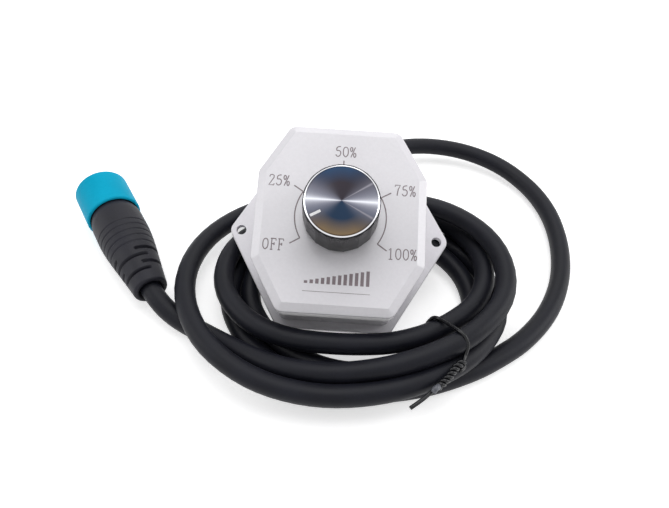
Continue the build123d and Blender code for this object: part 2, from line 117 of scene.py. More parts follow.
def newMaterial(name, **sockets):
    # a Principled material with its constant sockets set
    material = bpy.data.materials.new(name)
    material.use_nodes = True
    tree = material.node_tree
    shader = tree.nodes["Principled BSDF"]
    for socket, value in sockets.items():
        shader.inputs[socket.replace("_", " ")].default_value = value
    return material, tree, shader


def addNode(tree, kind, links=None, **settings):
    # one node, its settings, and links {input: output socket or constant}
    node = tree.nodes.new("ShaderNode" + kind)
    for name, value in settings.items():
        setattr(node, name, value)
    for name, value in (links or {}).items():
        if isinstance(value, bpy.types.NodeSocket):
            tree.links.new(value, node.inputs[name])
        else:
            node.inputs[name].default_value = value
    return node


def objectPoint(tree):
    return addNode(tree, "TexCoord").outputs["Object"]


def pointOn(tree, place):
    # Object coordinates seen from a place: centred on it and turned with it
    back = place.inverted()
    node = addNode(tree, "Mapping", {"Vector": objectPoint(tree), "Location": back.translation,
                                     "Rotation": back.to_euler("XYZ")}, vector_type="POINT")
    return node.outputs["Vector"]


def noiseOn(tree, point, scale, detail=3.0, roughness=0.55):
    return addNode(tree, "TexNoise", {"Vector": point, "Scale": scale, "Detail": detail,
                                      "Roughness": roughness}).outputs["Fac"]


def rampOf(tree, value, stops, interpolation="LINEAR"):
    node = addNode(tree, "ValToRGB", {"Fac": value})
    node.color_ramp.interpolation = interpolation
    while len(node.color_ramp.elements) < len(stops):
        node.color_ramp.elements.new(0.5)
    for element, (position, colour) in zip(node.color_ramp.elements, stops):
        element.position = position
        element.color = (*colour, 1)
    return node.outputs["Color"]


def mathOf(tree, operation, first, second=0.0, clamp=False):
    return addNode(tree, "Math", {0: first, 1: second}, operation=operation, use_clamp=clamp).outputs["Value"]


def rangeOf(tree, value, low, high, toLow, toHigh):
    return addNode(tree, "MapRange", {"Value": value, "From Min": low, "From Max": high, "To Min": toLow,
                                      "To Max": toHigh}).outputs["Result"]


def bumpOf(tree, height, strength, distance, normal=None):
    links = {"Height": height, "Strength": strength, "Distance": distance}
    if normal is not None:
        links["Normal"] = normal
    return addNode(tree, "Bump", links).outputs["Normal"]


def mixOf(tree, share, first, second):
    # each colour is a socket or three linear values
    first, second = ((*colour, 1) if isinstance(colour, tuple) else colour for colour in (first, second))
    return addNode(tree, "MixRGB", {"Fac": share, "Color1": first, "Color2": second}).outputs["Color"]


def srgb(red, green, blue):
    # an sRGB colour, 0 to 255, as linear values
    share = np.array([red, green, blue]) / 255
    return tuple(float(v) for v in np.where(share <= 0.04045, share / 12.92, ((share + 0.055) / 1.055) ** 2.4))


def setShader(tree, shader, **links):
    for socket, value in links.items():
        tree.links.new(value, shader.inputs[socket.replace("_", " ")])


# finishes

def moulded(name, dark, light, roughness, grain, patch=0.02, bump=0.000012, **sockets):
    # moulded plastic or rubber: two tones in soft patches, a fine grain in colour, gloss and relief
    material, tree, shader = newMaterial(name, **sockets)
    point = objectPoint(tree)
    patches = noiseOn(tree, point, 1 / patch, 2.0)
    fine = noiseOn(tree, point, 1 / grain, 3.0)
    blend = mathOf(tree, "ADD", mathOf(tree, "MULTIPLY", patches, 0.6), mathOf(tree, "MULTIPLY", fine, 0.4))
    setShader(tree, shader, Base_Color=rampOf(tree, blend, [(0.38, dark), (0.62, light)]),
              Roughness=rangeOf(tree, blend, 0.35, 0.65, roughness[0], roughness[1]),
              Normal=bumpOf(tree, fine, 0.5, bump))
    return material


def drawnMetal(name, dark, light, roughness, line=0.0004):
    # turned or drawn metal: fine uneven lines and a few dull spots
    material, tree, shader = newMaterial(name, Metallic=1.0)
    point = objectPoint(tree)
    fine = noiseOn(tree, point, 1 / line, 2.0)
    dull = noiseOn(tree, point, 90, 3.0)
    blend = mathOf(tree, "ADD", mathOf(tree, "MULTIPLY", fine, 0.5), mathOf(tree, "MULTIPLY", dull, 0.5))
    setShader(tree, shader, Base_Color=rampOf(tree, blend, [(0.4, dark), (0.6, light)]),
              Roughness=rangeOf(tree, dull, 0.35, 0.65, roughness[0], roughness[1]),
              Normal=bumpOf(tree, fine, 0.35, 0.000006))
    return material


boxPlastic = moulded("boxPlastic", srgb(228, 226, 231), srgb(234, 232, 237), (0.13, 0.2),
                     0.0011, 0.03, 0.000004, IOR=1.47)
sealRubber = moulded("sealRubber", srgb(118, 116, 122), srgb(134, 132, 138), (0.6, 0.72), 0.0005)
cableRubber = moulded("cableRubber", srgb(17, 18, 25), srgb(24, 25, 33), (0.42, 0.52), 0.0006, 0.012, 0.00002,
                      Specular_IOR_Level=0.18)
plugRubber = moulded("plugRubber", srgb(22, 22, 30), srgb(30, 30, 39), (0.46, 0.58), 0.0005, 0.008, 0.00003,
                     Specular_IOR_Level=0.25)
nutPlastic = moulded("nutPlastic", srgb(10, 165, 201), srgb(17, 173, 209), (0.42, 0.52), 0.0009, 0.01, 0.000006,
                     Specular_IOR_Level=0.2, IOR=1.2)
carrierPlastic = moulded("carrierPlastic", srgb(28, 28, 31), srgb(38, 38, 42), (0.36, 0.48), 0.0006)
sealGrey = moulded("sealSilicone", srgb(150, 150, 150), srgb(168, 168, 168), (0.45, 0.6), 0.0005)
sleeveRubber = moulded("sleeveRubber", srgb(34, 34, 37), srgb(43, 43, 47), (0.5, 0.66), 0.0005, 0.006, 0.00003)
innerJacket = moulded("innerJacket", srgb(34, 34, 38), srgb(44, 44, 48), (0.42, 0.54), 0.0006)
coreInsulation = moulded("coreInsulation", srgb(176, 52, 44), srgb(192, 62, 52), (0.35, 0.45), 0.0005)
waferBoard = moulded("waferBoard", srgb(140, 92, 50), srgb(158, 106, 60), (0.55, 0.7), 0.0004, 0.003)
rotorPlastic = moulded("rotorPlastic", srgb(206, 201, 186), srgb(218, 213, 198), (0.4, 0.5), 0.0006)
tieVinyl = moulded("tieVinyl", srgb(8, 9, 13), srgb(14, 15, 20), (0.22, 0.34), 0.0008, 0.006, 0.00002,
                   Specular_IOR_Level=0.35)
tieCut = moulded("tieCut", srgb(74, 76, 84), srgb(104, 106, 114), (0.3, 0.45), 0.0004, 0.002, 0.00003)
steelScrew = drawnMetal("steelScrew", (0.42, 0.42, 0.42), (0.6, 0.6, 0.59), (0.28, 0.42))
potSteel = drawnMetal("potSteel", (0.5, 0.5, 0.49), (0.66, 0.66, 0.64), (0.26, 0.4))
lugTin = drawnMetal("lugTin", (0.62, 0.6, 0.56), (0.78, 0.76, 0.72), (0.3, 0.45))
wiperBronze = drawnMetal("wiperBronze", (0.62, 0.42, 0.22), (0.75, 0.53, 0.3), (0.25, 0.35))
shaftAluminium = drawnMetal("shaftAluminium", (0.6, 0.6, 0.61), (0.76, 0.76, 0.77), (0.25, 0.36))
nutNickel = drawnMetal("nutNickel", (0.55, 0.53, 0.5), (0.7, 0.68, 0.65), (0.2, 0.32))
insertBrass = drawnMetal("insertBrass", (0.66, 0.48, 0.2), (0.8, 0.6, 0.28), (0.28, 0.4))
pinBrass = drawnMetal("pinBrass", (0.78, 0.58, 0.28), (0.9, 0.7, 0.36), (0.18, 0.3))


def knobFinish(settings):
    # black moulded knob: satin sides with a faint draw line pattern up the flutes
    material, tree, shader = newMaterial("knobPlastic", Specular_IOR_Level=0.22)
    point = pointOn(tree, capPlace)
    across = addNode(tree, "Mapping", {"Vector": point, "Scale": (1, 1, 0.12)}).outputs["Vector"]
    draw = noiseOn(tree, across, 1 / settings["grain"], 2.0)
    wear = noiseOn(tree, point, 160, 3.0)
    tones = [(0.35, settings["dark"]), (0.65, settings["light"])]
    setShader(tree, shader, Base_Color=rampOf(tree, draw, tones),
              Roughness=rangeOf(tree, wear, 0.3, 0.7, *settings["roughness"]),
              Normal=bumpOf(tree, draw, 0.4, 0.00001))
    return material


knobBody = dict(dark=srgb(5, 5, 7), light=srgb(10, 10, 12), roughness=(0.26, 0.36), grain=0.0005)
knobPlastic = knobFinish(knobBody)

cap = dict(
    flat=11.8, flatSoft=0.05, rim=12.2, rimSoft=0.04, sideTop=-0.6, sideSoft=0.1,    # mm
    lineScale=9000, roughness=0.3, rimRoughness=0.16, anisotropic=0.7, gain=0.62,
    # painted light of the spun face: painted highlight on its light line, painted sheen beside it, painted
    # shade above it and below it
    paintedHighlight=(236, 238, 246), paintedSheen=(118, 119, 132), above=(51, 47, 52), below=(36, 52, 72),
    # powers of the cosine above and below the line, and degrees off it for the painted highlight to fall to a
    # third
    powerAbove=4.2, powerBelow=5.2, paintedHighlightFall=5,
    # painted glints: thin highlight lines in one tone at these angles, half width in degrees
    paintedGlint=(137, 135, 144), paintedGlintAngles=[-28, 34], paintedGlintHalf=3,
    # painted coloured reflections, tinted fans towards the rim: tone, middle angle, half widths where they are
    # full and gone
    paintedTintedFans=[((118, 100, 76), -92, 28, 66), ((44, 64, 90), 98, 20, 58)], paintedTintFrom=6.2, paintedTintTo=11.2,
    bevel=(236, 236, 240), groove=(0.02, 0.02, 0.03), grooveShare=0.16, side=(0.03, 0.03, 0.035),
)


def fanBetween(tree, turn, middle, full, none):
    # 1 within full degrees of the middle angle, fading to 0 at none degrees
    away = mathOf(tree, "ABSOLUTE", mathOf(tree, "SUBTRACT", turn, radians(middle)))
    return rangeOf(tree, away, radians(none), radians(full), 0.0, 1.0)


def capFinishWithPaintedLight(settings):
    # spun metal: rings round the middle, light and dark fans painted into its colour as painted highlight,
    # painted sheen, painted shade and painted coloured reflections, a polished rim
    def tone(colour):
        return tuple(v * settings["gain"] for v in srgb(*colour))

    material, tree, shader = newMaterial("capMetal", Metallic=1.0, Anisotropic=settings["anisotropic"])
    parts = addNode(tree, "SeparateXYZ", {0: pointOn(tree, capPlace)})
    x, y, z = (parts.outputs[name] for name in "XYZ")
    square = mathOf(tree, "ADD", mathOf(tree, "MULTIPLY", x, x), mathOf(tree, "MULTIPLY", y, y))
    radius = mathOf(tree, "POWER", square, 0.5)
    turn = mathOf(tree, "ARCTAN2", y, x)
    across = mathOf(tree, "MULTIPLY", radius, settings["lineScale"])
    rings = addNode(tree, "TexNoise", {"W": across, "Scale": 1.0, "Detail": 2.0},
                    noise_dimensions="1D").outputs["Fac"]
    # painted shade above and below; painted sheen by a power of the cosine of the angle off the light line, and
    # painted highlight by the exponential of that angle
    away = mathOf(tree, "ARCTAN2", mathOf(tree, "ABSOLUTE", y), mathOf(tree, "ABSOLUTE", x))
    soft = settings["flatSoft"] * mm
    lower = rangeOf(tree, y, -soft, soft, 1.0, 0.0)
    shown = mixOf(tree, lower, tone(settings["above"]), tone(settings["below"]))
    power = rangeOf(tree, lower, 0.0, 1.0, settings["powerAbove"], settings["powerBelow"])
    # painted sheen: share by a power of the cosine off the light line
    broad = mathOf(tree, "POWER", mathOf(tree, "COSINE", away), power)
    shown = mixOf(tree, broad, shown, tone(settings["paintedSheen"]))
    # painted glints: thin highlight lines at set angles
    for middle in settings["paintedGlintAngles"]:
        line = fanBetween(tree, turn, middle, 0, settings["paintedGlintHalf"])
        shown = mixOf(tree, line, shown, tone(settings["paintedGlint"]))
    # painted highlight: share by the exponential of the angle off the light line
    narrow = mathOf(tree, "EXPONENT", mathOf(tree, "MULTIPLY", away, -1 / radians(settings["paintedHighlightFall"])))
    shown = mixOf(tree, narrow, shown, tone(settings["paintedHighlight"]))
    # painted coloured reflections: tinted fans towards the rim
    outer = rangeOf(tree, radius, settings["paintedTintFrom"] * mm, settings["paintedTintTo"] * mm, 0.0, 1.0)
    for colour, middle, full, none in settings["paintedTintedFans"]:
        share = mathOf(tree, "MULTIPLY", outer, fanBetween(tree, turn, middle, full, none))
        shown = mixOf(tree, share, shown, tone(colour))
    shown = mixOf(tree, rangeOf(tree, rings, 0.3, 0.7, 0.0, settings["grooveShare"]), shown, settings["groove"])
    rim = rangeOf(tree, radius, settings["flat"] * mm - soft, settings["flat"] * mm + soft, 0.0, 1.0)
    shown = mixOf(tree, rim, shown, srgb(*settings["bevel"]))
    top, edge = settings["sideTop"], settings["rim"]
    side = mathOf(tree, "MAXIMUM", rangeOf(tree, z, (top - settings["sideSoft"]) * mm, top * mm, 1.0, 0.0),
                  rangeOf(tree, radius, edge * mm, (edge + settings["rimSoft"]) * mm, 0.0, 1.0))
    shown = mixOf(tree, side, shown, settings["side"])
    around = addNode(tree, "CombineXYZ", {"X": mathOf(tree, "MULTIPLY", y, -1.0), "Y": x}).outputs["Vector"]
    tangent = addNode(tree, "Mapping", {"Vector": around, "Rotation": capPlace.to_euler("XYZ")},
                      vector_type="VECTOR").outputs["Vector"]
    setShader(tree, shader, Base_Color=shown, Normal=bumpOf(tree, rings, 0.15, 0.000004), Tangent=tangent,
              Roughness=rangeOf(tree, rim, 0.0, 1.0, settings["roughness"], settings["rimRoughness"]))
    return material


capMetal = capFinishWithPaintedLight(cap)
pointerPaint = moulded("pointerPaint", srgb(226, 226, 228), srgb(238, 238, 240), (0.4, 0.5), 0.0006)
printInk = moulded("printInk", srgb(120, 108, 113), srgb(134, 122, 127), (0.5, 0.6), 0.0004, 0.004)

finishes = {
    "base_shell": boxPlastic, "front_cover": boxPlastic, "cover_seal": sealRubber, "cover_screws": steelScrew,
    "cable_sleeve": sleeveRubber, "inner_jacket": innerJacket, "inner_cores": coreInsulation,
    "pot_bushing": potSteel, "pot_wafer": waferBoard, "pot_lugs": lugTin, "pot_can": potSteel,
    "pot_rotor": rotorPlastic, "pot_wiper": wiperBronze, "pot_shaft": shaftAluminium, "pot_washer": nutNickel,
    "pot_nut": nutNickel, "knob_body": knobPlastic, "knob_insert": insertBrass, "knob_cap": capMetal,
    "pointer_line": pointerPaint, "plug_body": plugRubber, "coupling_nut": nutPlastic,
    "contact_carrier": carrierPlastic, "contact_pins": pinBrass, "plug_seal": sealGrey,
    "cord_exit_loop": cableRubber, "cord_coil": cableRubber, "cord_plug_lead": cableRubber,
    "twist_tie": tieVinyl,
}


def dress(piece, material):
    piece.data.materials.clear()
    piece.data.materials.append(material)


for nodeName, material in finishes.items():
    dress(cadNodes[nodeName], material)
print("finishes on", len(finishes), "CAD pieces")


# cable

cable = dict(
    diameter=0.0076, length=1.53, turnPoints=15, middle=(4, -13), firstAngle=-54,
    # run from the sleeve round to the coil, mm
    exitRun=[(0, 30.17, 22.58), (0, 32.9, 17.65), (1.8, 42.4, 12), (6.2, 52.8, 11.8), (9.4, 61.6, 11.3),
             (19.5, 74.5, 9.8), (36.7, 82.1, 8.4), (56.8, 82.3, 7), (74.6, 75.1, 5.4), (86.9, 61.7, 4.2),
             (93.1, 46.2, 3.9), (94.7, 30, 3.82), (93, 12.9, 3.82), (88.4, -2.4, 3.82), (81, -16.2, 3.82),
             (70.7, -28.2, 3.82), (61.1, -35.6, 3.82), (49.6, -43.1, 3.82)],
    # distance from the coil's middle and height over the floor, one row a turn, mm
    reach=[[46.8, 42.5, 41.4, 40.9, 42.6, 45.1, 45.0, 42.6, 39.8, 39.7, 44.6, 52.6, 57.8, 59.0, 54.0],
           [49.4, 47.9, 49.9, 53.9, 58.4, 61.4, 62.1, 61.0, 59.7, 59.0, 58.0, 56.8, 57.0, 50.7, 39.2],
           [31.9, 28.2, 28.6, 33.4, 40.8, 47.0, 48.5, 44.2, 37.8, 34.4, 36.7, 44.6, 49.8, 49.9, 43.8],
           [37.8, 35.0, 33.5, 33.1, 34.7, 37.3, 37.2, 34.3, 31.8, 33.9, 42.1, 53.2, 60.4, 59.4, 50.8],
           [43.2, 40.7, 42.1, 45.4]],
    height=[[3.8, 3.9, 3.9, 3.8, 3.8, 3.8, 3.8, 3.8, 3.8, 3.8, 3.8, 3.8, 4.6, 8.0, 11.0],
            [11.7, 11.9, 11.9, 12.2, 12.7, 11.9, 9.3, 6.2, 4.1, 3.9, 6.2, 10.3, 13.0, 13.4, 12.7],
            [12.0, 12.1, 12.2, 11.9, 11.7, 11.4, 11.3, 11.6, 11.5, 10.1, 7.7, 5.4, 3.9, 3.8, 3.8],
            [3.9, 3.9, 3.8, 3.8, 3.8, 3.8, 6.4, 12.1, 17.3, 20.0, 20.8, 20.7, 20.1, 19.2, 18.1],
            [16.3, 14.5, 13.2, 10.3]],
    leadRun=[(-45.6, -34.8, 3.97), (-59.1, -28.4, 5.4)],
    tailReach=(-2.4, 3),     # the last two points on the plug's axis, mm from its tail
)


def coilStations(settings):
    # turns clockwise seen from above: each station one step on, at its own distance and height
    lowest = settings["diameter"] / 2 / mm + 0.02
    middleX, middleY = settings["middle"]
    stations = []
    for reachRow, heightRow in zip(settings["reach"], settings["height"]):
        for reach, height in zip(reachRow, heightRow):
            angle = radians(settings["firstAngle"] - 360 / settings["turnPoints"] * len(stations))
            stations.append((middleX + reach * cos(angle), middleY + reach * sin(angle), max(height, lowest)))
    return stations


def addCable(settings):
    onAxis = [tuple((plugPlace @ Vector((0, 0, d * mm))) / mm) for d in settings["tailReach"]]
    points = settings["exitRun"] + coilStations(settings) + settings["leadRun"] + onAxis
    curve = bpy.data.curves.new("dimmerCable", "CURVE")
    curve.dimensions = "3D"
    curve.bevel_depth = settings["diameter"] / 2
    curve.bevel_resolution = 7
    curve.resolution_u = 5
    curve.use_fill_caps = True
    spline = curve.splines.new("NURBS")
    spline.points.add(len(points) - 1)
    spline.points.foreach_set("co", np.column_stack([np.array(points) * mm, np.ones(len(points))]).ravel())
    spline.order_u = 3
    spline.use_endpoint_u = True
    piece = bpy.data.objects.new("dimmerCable", curve)
    bpy.context.scene.collection.objects.link(piece)
    dress(piece, cableRubber)
    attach(piece, "housing")
    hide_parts("cord_exit_loop", "cord_coil", "cord_plug_lead")
    print("cable:", len(points), "points")
    return piece


cablePiece = addCable(cable)


# helpers for new surfaces

def addMesh(name, vertices, faces, material, body, smooth=True):
    mesh = bpy.data.meshes.new(name)
    mesh.from_pydata(np.asarray(vertices, float).tolist(), [], faces)
    mesh.update()
    mesh.polygons.foreach_set("use_smooth", [smooth] * len(mesh.polygons))
    piece = bpy.data.objects.new(name, mesh)
    bpy.context.scene.collection.objects.link(piece)
    dress(piece, material)
    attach(piece, body)
    return piece


def gridFaces(rows, columns, closed, ring=False):
    # quads of a grid of points: columns joined round when closed, the last row to the first when ring
    row, column = np.meshgrid(np.arange(rows if ring else rows - 1),
                              np.arange(columns if closed else columns - 1), indexing="ij")
    after = (column + 1) % columns
    below = (row + 1) % rows
    return np.stack([row * columns + column, row * columns + after, below * columns + after,
                     below * columns + column], -1).reshape(-1, 4).tolist()


def smoothPath(points, perRun=8):
    # quadratic curve through the middles of the runs: share t of a run blends its corner with both middles
    points = np.array(points, float)
    middles = np.vstack([points[:1], (points[1:-2] + points[2:-1]) / 2, points[-1:]])
    t = np.linspace(0, 1, perRun, endpoint=False)[None, :, None]
    corners = points[1:-1, None]
    curve = (1 - t) ** 2 * middles[:-1, None] + 2 * t * (1 - t) * corners + t ** 2 * middles[1:, None]
    return np.vstack([curve.reshape(-1, 3), points[-1:]])


def pathFrames(path):
    # two sides at right angles to the path, carried along it without twisting
    tangents = np.gradient(path, axis=0)
    tangents /= np.linalg.norm(tangents, axis=1)[:, None]
    sides = np.empty_like(path)
    side = np.cross(tangents[0], (0.3, 0.2, 0.9))
    for i, tangent in enumerate(tangents):
        side = side - tangent * (side @ tangent)
        side /= np.linalg.norm(side)
        sides[i] = side
    return sides, np.cross(tangents, sides)


# wire tie round the turns

tie = dict(
    wire=0.0007, around=12,
    # over the two top strands, then in under the coil and up again between the outer turns, mm
    loop=[(33.0, -29.8, 1.2), (33.0, -29.4, 6.0), (33.2, -29.0, 11.0), (34.6, -29.5, 15.7),
          (35.9, -30.5, 16.9), (37.2, -31.3, 17.1), (39.5, -34.4, 18.8), (41.5, -38.6, 21.5),
          (42.8, -40.0, 21.8), (44.0, -41.3, 21.4), (45.2, -43.1, 19.2), (44.7, -44.4, 16.5),
          (43.8, -46.7, 16.0), (43.0, -48.2, 16.5)],
    back=[(33.0, -29.8, 1.2), (34.2, -32.6, 0.75), (38.0, -37.7, 0.75), (40.4, -41.9, 2.0),
          (40.3, -42.9, 8.0), (41.4, -44.4, 12.4), (43.2, -46.0, 14.3), (44.2, -47.6, 15.0),
          (43.9, -49.2, 14.9), (42.4, -50.6, 15.3)],
    # the two ends wound round each other, the end left long and the end cut short
    twist=[(43.4, -47.6, 16.5), (42.0, -49.2, 16.6), (40.5, -50.4, 16.4), (38.9, -53.0, 15.7),
           (36.5, -55.4, 15.0), (34.2, -57.2, 14.4)],
    spread=0.00074, strand=0.00068, pitch=0.0036, twistPerRun=16, strandAround=10,
    straight=[(34.4, -56.8, 14.2), (33.2, -57.7, 13.7), (29.6, -61.4, 13.6), (25.8, -64.0, 12.8)],
    stub=[(34.9, -56.9, 14.9), (34.3, -57.5, 15.5), (33.6, -58.2, 15.4), (33.2, -58.7, 14.6)], stubWire=0.001,
)


def tubeAlong(path, radius, around):
    # ring points: path + radius * (side * cos + up * sin), its ends closed
    sides, ups = pathFrames(path)
    angle = np.linspace(0, 2 * pi, around, endpoint=False)[None, :, None]
    ring = (sides[:, None] * np.cos(angle) + ups[:, None] * np.sin(angle)) * radius
    vertices = (path[:, None] + ring).reshape(-1, 3)
    faces = gridFaces(len(path), around, True)
    first = list(range(around))[::-1]
    last = [(len(path) - 1) * around + i for i in range(around)]
    return vertices, faces + [first, last]


def joined(parts):
    # one list of points and faces from several
    vertices, faces = [], []
    for points, quads in parts:
        start = sum(len(v) for v in vertices)
        vertices.append(points)
        faces += [[start + i for i in quad] for quad in quads]
    return np.vstack(vertices), faces


def addTie(settings):
    # a wire round the turns, its two ends wound round each other, one left long and one cut short
    wires = [tubeAlong(smoothPath(np.array(settings[way]) * mm), settings["wire"], settings["around"])
             for way in ("loop", "back", "straight")]
    axis = smoothPath(np.array(settings["twist"]) * mm, settings["twistPerRun"])
    run = np.concatenate([[0], np.cumsum(np.linalg.norm(np.diff(axis, axis=0), axis=1))])
    sides, ups = pathFrames(axis)
    for half in (0, pi):
        angle = run / settings["pitch"] * 2 * pi + half
        strand = axis + settings["spread"] * (sides * np.cos(angle)[:, None] + ups * np.sin(angle)[:, None])
        wires.append(tubeAlong(strand, settings["strand"], settings["strandAround"]))
    vertices, faces = joined(wires)
    piece = addMesh("wireTie", vertices, faces, tieVinyl, "housing")
    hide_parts("twist_tie")
    stub = smoothPath(np.array(settings["stub"]) * mm)
    vertices, faces = tubeAlong(stub, settings["stubWire"], settings["around"])
    addMesh("wireTieCutEnd", vertices, faces, tieCut, "housing")
    print("tie:", len(piece.data.vertices), "points")


addTie(tie)

# ribbed skirt over the knob's plastic
skirt = dict(
    ribs=16, firstRib=210, depth=0.3, columns=320,
    # height under the cap's top, radius and share of the flutes' depth there, mm
    profile=[(-1.7, 12.1, 0), (-1.5, 12.52, 0), (-0.6, 12.52, 0), (-0.52, 12.58, 0), (-0.6, 12.68, 0.3),
             (-0.9, 12.75, 1), (-2.6, 12.8, 1), (-8, 12.92, 1), (-14.4, 13.06, 1), (-15, 13.06, 0.9),
             (-15.3, 12.95, 0.5), (-15.42, 12.7, 0), (-15.42, 12.2, 0), (-8, 12.1, 0)],
)


def addSkirt(settings):
    # radius less depth times |sin| of half as many turns as ribs: broad flutes between narrow ribs
    angle = radians(settings["firstRib"]) + np.linspace(0, 2 * pi, settings["columns"], endpoint=False)
    flute = np.abs(np.sin((angle - radians(settings["firstRib"])) * settings["ribs"] / 2))
    height, radius, share = np.array(settings["profile"]).T[:, :, None]
    reach = radius - settings["depth"] * share * flute
    local = np.stack([reach * np.cos(angle), reach * np.sin(angle), height + 0 * reach], -1).reshape(-1, 3) * mm
    place = np.array(capPlace)
    piece = addMesh("knobSkirt", local @ place[:3, :3].T + place[:3, 3],
                    [quad[::-1] for quad in gridFaces(len(radius), settings["columns"], True, ring=True)],
                    knobPlastic, "knob")
    print("skirt:", len(piece.data.vertices), "points")


addSkirt(skirt)


# moulded plug body with its fine rings and flex slots
plug = dict(
    columns=160, step=0.18,
    # distance from the tail and radius, mm: taper, full part, shoulder, neck and nose
    taper=[(0.9, 6.4), (11.1, 7.85), (18.0, 8.9), (23.8, 9.65), (30.6, 10.1)],
    fullTo=37.3, shoulderAt=42.3, drop=0.9,
    tail=[(3.0, 4.7), (0, 4.7), (0, 5.5), (0.12, 5.95), (0.45, 6.28)],
    nose=[(45.7, 9.2), (45.7, 7.8), (49.6, 7.8), (49.6, 8.8), (53.9, 8.8), (53.9, 6.3), (47.9, 6.3)],
    rings=[18.5, 21.4, 24.3, 27.2, 30.1], ringDepth=0.26, ringWidth=1.0,
    slots=[5.4, 8.5, 11.9, 15.0], slotDepth=1.5, slotWidth=1.2, slotSoft=0.18,
    bridge=4.1, bridgeSoft=0.3, turn=-27,
)


def addPlug(settings):
    # a turned form: the fourth-power curve through the taper's points, a level part, a square-law shoulder
    along = np.arange(settings["taper"][0][0], settings["shoulderAt"] + settings["step"] / 2, settings["step"])
    places, radii = np.array(settings["taper"]).T
    body = np.polyval(np.polyfit(places, radii, len(places) - 1), along)
    fall = np.clip((along - settings["fullTo"]) / (settings["shoulderAt"] - settings["fullTo"]), 0, 1)
    body = np.where(along > places[-1], radii[-1] - settings["drop"] * fall ** 2, body)
    tail, nose = np.array(settings["tail"]), np.array(settings["nose"])
    station = np.concatenate([tail[:, 0], along, nose[:, 0]])[:, None]
    radius = np.concatenate([tail[:, 1], body, nose[:, 1]])[:, None]
    isBody = np.concatenate([np.zeros(len(tail)), np.ones(len(along)), np.zeros(len(nose))])[:, None]
    angle = np.linspace(0, 2 * pi, settings["columns"], endpoint=False)[None, :]
    turned = angle - radians(settings["turn"])
    cut = 0 * angle + 0 * station
    for ring in settings["rings"]:
        # rounded groove: depth times the squared cosine across its width
        off = np.clip(np.abs(station - ring) / settings["ringWidth"] * 2, 0, 1)
        cut = cut + settings["ringDepth"] * np.cos(off * pi / 2) ** 2
    for n, slot in enumerate(settings["slots"]):
        # open where the point's distance from the bridges' middle plane is over the bridge
        aside = np.abs(radius * (np.sin(turned) if n % 2 else np.cos(turned)))
        opened = np.clip((aside - settings["bridge"]) / settings["bridgeSoft"], 0, 1)
        within = (settings["slotWidth"] + settings["slotSoft"]) / 2 - np.abs(station - slot)
        cut = np.maximum(cut, settings["slotDepth"] * opened * np.clip(within / settings["slotSoft"], 0, 1))
    reach = radius - isBody * cut
    local = np.stack([reach * np.cos(angle), reach * np.sin(angle), station + 0 * reach], -1)
    local = local.reshape(-1, 3) * mm
    place = np.array(plugPlace)
    rows, columns = reach.shape
    faces = gridFaces(rows, columns, True) + [list(range(columns))[::-1],
                                              [(rows - 1) * columns + i for i in range(columns)]]
    piece = addMesh("plugBody", local @ place[:3, :3].T + place[:3, 3], faces, plugRubber,
                    "housing")
    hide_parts("plug_body")
    print("plug:", len(piece.data.vertices), "points")


addPlug(plug)


# dial print

dial = dict(
    arcRadius=15.9, arcPoints=40, line=0.42, lift=0.00003, arcs=[(148, 212), (-34, 30)],
    ticks=[(212, 19.9), (148, 19.9), (90, 21.0), (30, 19.9), (-34, 19.9)],    # angle and outer end
    glyphHeight=3.9, glyphWidth=2.3, pitch=2.6, stroke=0.36, rounded="0O5%",
    words=[("50%", 0.45, 24.4), ("25%", -22.3, 12.15), ("75%", 22.0, 11.1), ("OFF", -22.4, -11.2),
           ("100%", 21.8, -12.0)],
)
# strokes of each figure on a 2 by 4 grid, drawn as thin lines
glyphs = {
    "0": [[(1, 0), (0.35, 0.5), (0.2, 2), (0.35, 3.5), (1, 4), (1.65, 3.5), (1.8, 2), (1.65, 0.5), (1, 0)]],
    "1": [[(0.45, 3.3), (1, 4), (1, 0)], [(0.45, 0), (1.55, 0)]],
    "2": [[(0.3, 3.1), (0.5, 3.8), (1.05, 4), (1.6, 3.7), (1.65, 2.9), (1.2, 2.0), (0.25, 0), (1.75, 0),
           (1.8, 0.6)]],
    "5": [[(1.65, 4), (0.45, 4), (0.35, 2.2), (1.05, 2.5), (1.65, 2.1), (1.75, 1.2), (1.45, 0.3), (0.9, 0),
           (0.35, 0.3), (0.25, 0.8)]],
    "7": [[(0.25, 3.4), (0.3, 4), (1.8, 4), (1.2, 2.4), (0.9, 0)]],
    "%": [[(0.5, 2.2), (0.15, 2.6), (0.15, 3.6), (0.5, 4), (0.85, 3.6), (0.85, 2.6), (0.5, 2.2)],
          [(1.55, 0), (1.2, 0.4), (1.2, 1.4), (1.55, 1.8), (1.9, 1.4), (1.9, 0.4), (1.55, 0)],
          [(1.65, 4), (0.4, 0)]],
    "O": [[(1, 0), (0.35, 0.5), (0.2, 2), (0.35, 3.5), (1, 4), (1.65, 3.5), (1.8, 2), (1.65, 0.5), (1, 0)]],
    "F": [[(0.2, 0), (0.95, 0)], [(0.55, 0), (0.55, 4)], [(0.2, 4), (1.75, 4), (1.8, 3.3)],
          [(0.55, 2.1), (1.3, 2.1)], [(1.3, 2.6), (1.3, 1.6)]],
}


def ribbonAlong(line, width):
    # flat band: each point of the line, half the width to its left and to its right
    line = np.array(line, float)
    heading = np.gradient(line, axis=0)
    heading /= np.linalg.norm(heading, axis=1)[:, None]
    side = np.column_stack([-heading[:, 1], heading[:, 0]]) * width / 2
    vertices = np.stack([line + side, line - side], 1).reshape(-1, 2)
    faces = [[2 * i + 1, 2 * i + 3, 2 * i + 2, 2 * i] for i in range(len(line) - 1)]
    return vertices, faces


def roundStroke(points, perRun=4):
    # the stroke's corners rounded as a quadratic curve
    points = np.array(points, float)
    if len(points) == 2:
        return points
    flat = smoothPath(np.column_stack([points, np.zeros(len(points))]), perRun)
    return flat[:, :2]


